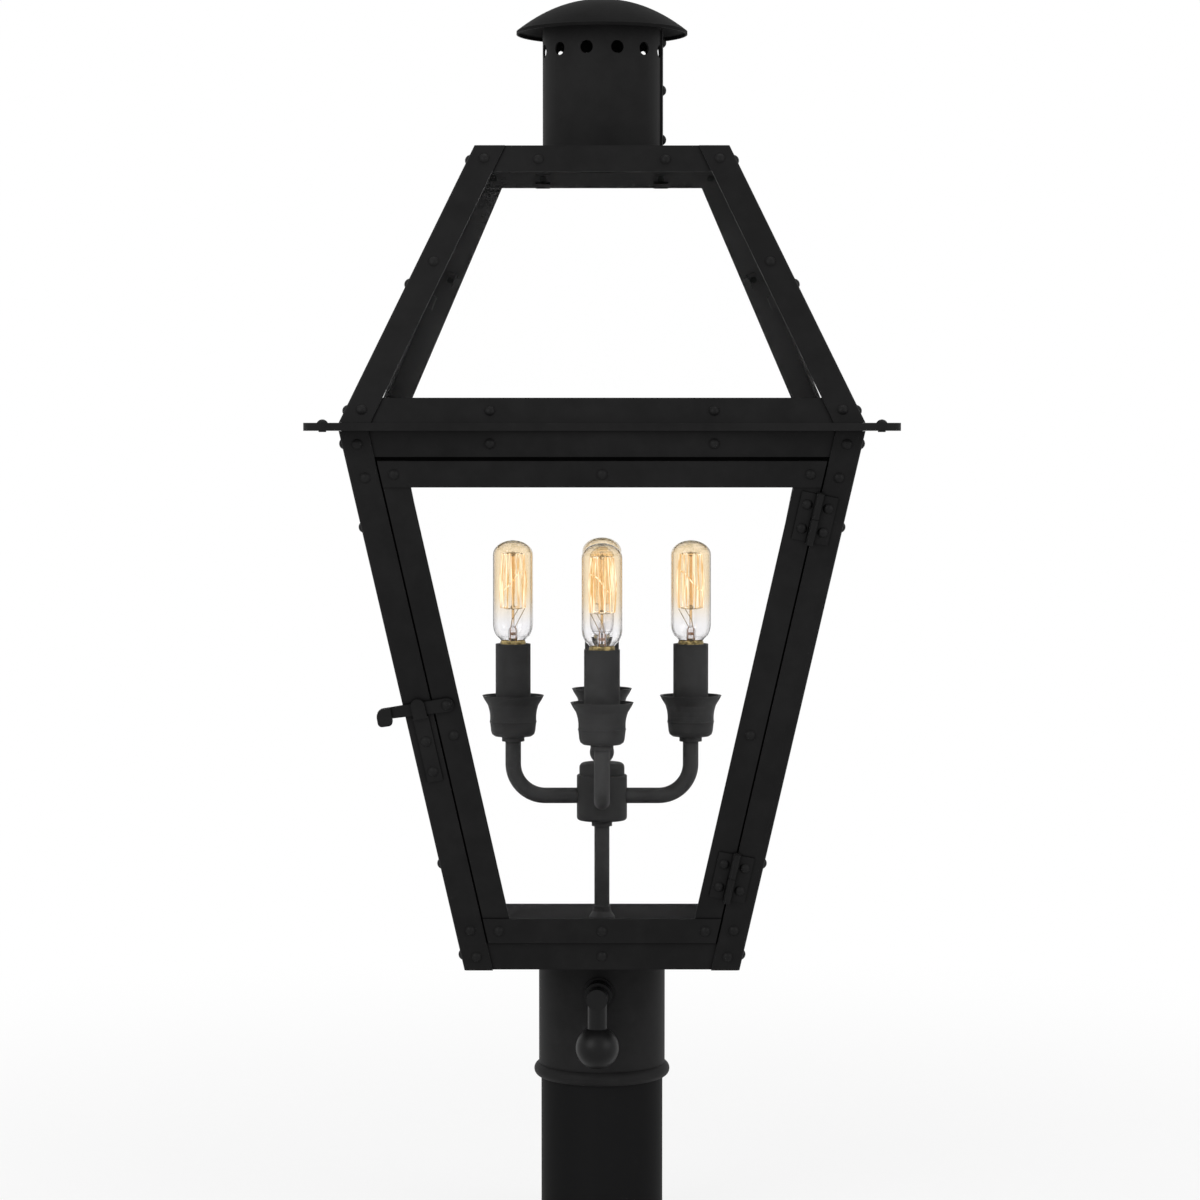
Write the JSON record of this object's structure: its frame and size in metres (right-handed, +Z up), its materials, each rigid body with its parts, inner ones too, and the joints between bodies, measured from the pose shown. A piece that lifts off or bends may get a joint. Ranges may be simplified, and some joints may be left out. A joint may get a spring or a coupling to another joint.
{
  "type": "outdoor post lantern",
  "caption": "Four-sided tapered post-top lantern with a glazed roof, a vented chimney and cap, a hinged and latched glass door and a cluster of electric candles inside.",
  "frame": {"origin": "centre of the post's lower end, at the bottom of the object", "axes": "+Z up along the post, -Y towards the side with the door, +X to the right of someone facing the door"},
  "size_m": [0.344, 0.344, 0.7657],
  "materials": {
    "frame_paint": "satin black paint on folded steel strip",
    "rivet_paint": "satin black paint over rivet heads",
    "post_paint": "smooth black paint, slightly glossier than the frame",
    "cluster_paint": "satin black paint on turned and bent tube",
    "sleeve_plastic": "matt black",
    "pane_glass": "clear, polished",
    "clip_steel": "dark spring steel",
    "pin_steel": "blackened steel",
    "bulb_brass": "dull lacquered",
    "bulb_glass": "amber tint, clear towards the base",
    "filament": "dark amber wire on a glass stem"
  },
  "bodies": {
    "lantern": {"front_left_bar": "frame_paint", "front_right_bar": "frame_paint", "back_left_bar": "frame_paint", "back_right_bar": "frame_paint", "front_head_rail": "frame_paint", "right_head_rail": "frame_paint", "back_head_rail": "frame_paint", "left_head_rail": "frame_paint", "base_tray": "frame_paint", "right_pane": "pane_glass", "back_pane": "pane_glass", "left_pane": "pane_glass", "door_stops": "frame_paint", "glass_clips": "clip_steel", "wall_rivets": "rivet_paint", "rim_plate": "frame_paint", "front_left_rafter": "frame_paint", "front_right_rafter": "frame_paint", "back_left_rafter": "frame_paint", "back_right_rafter": "frame_paint", "front_eave_rail": "frame_paint", "right_eave_rail": "frame_paint", "back_eave_rail": "frame_paint", "left_eave_rail": "frame_paint", "crown_pan": "frame_paint", "front_roof_pane": "pane_glass", "right_roof_pane": "pane_glass", "back_roof_pane": "pane_glass", "left_roof_pane": "pane_glass", "roof_rivets": "rivet_paint", "chimney_tube": "frame_paint", "chimney_cap": "frame_paint", "fitter_tube": "frame_paint", "fitter_flange": "frame_paint", "set_screws": "rivet_paint", "tap_body": "frame_paint", "post": "post_paint", "frame_hinge_leaves": "frame_paint", "hinge_pins": "pin_steel", "latch_keeper": "frame_paint", "cluster_stem": "cluster_paint", "cluster_hub": "cluster_paint", "cluster_arms": "cluster_paint", "candle_cups": "cluster_paint", "candle_sleeves": "sleeve_plastic", "lamp_holders": "sleeve_plastic", "bulb_bases": "bulb_brass", "bulb_glasses": "bulb_glass", "bulb_filaments": "filament"},
    "door": {"door_left_stile": "frame_paint", "door_right_stile": "frame_paint", "door_top_rail": "frame_paint", "door_bottom_rail": "frame_paint", "door_pane": "pane_glass", "door_clips": "clip_steel", "door_rivets": "rivet_paint", "door_hinge_leaves": "frame_paint", "latch_pivot": "rivet_paint"},
    "latch": {"latch_lever": "frame_paint"},
    "tap": {"tap_lever": "frame_paint"}
  },
  "joints": [
    {"name": "door_hinge", "type": "hinge", "parent": "lantern", "child": "door", "pos_m": [0.1239, -0.14412, 0.44758], "axis": [0.2041, -0.2041, 0.9574], "range_deg": [0, 110]},
    {"name": "latch_turn", "type": "hinge", "parent": "door", "child": "latch", "pos_m": [-0.09174, -0.1181, 0.3375], "axis": [0, 0.978, 0.2085], "range_deg": [0, 60]},
    {"name": "tap_turn", "type": "hinge", "parent": "lantern", "child": "tap", "pos_m": [-0.00283, -0.05998, 0.1523], "axis": [0.0471, 0.9989, 0], "range_deg": [-90, 90]}
  ]
}
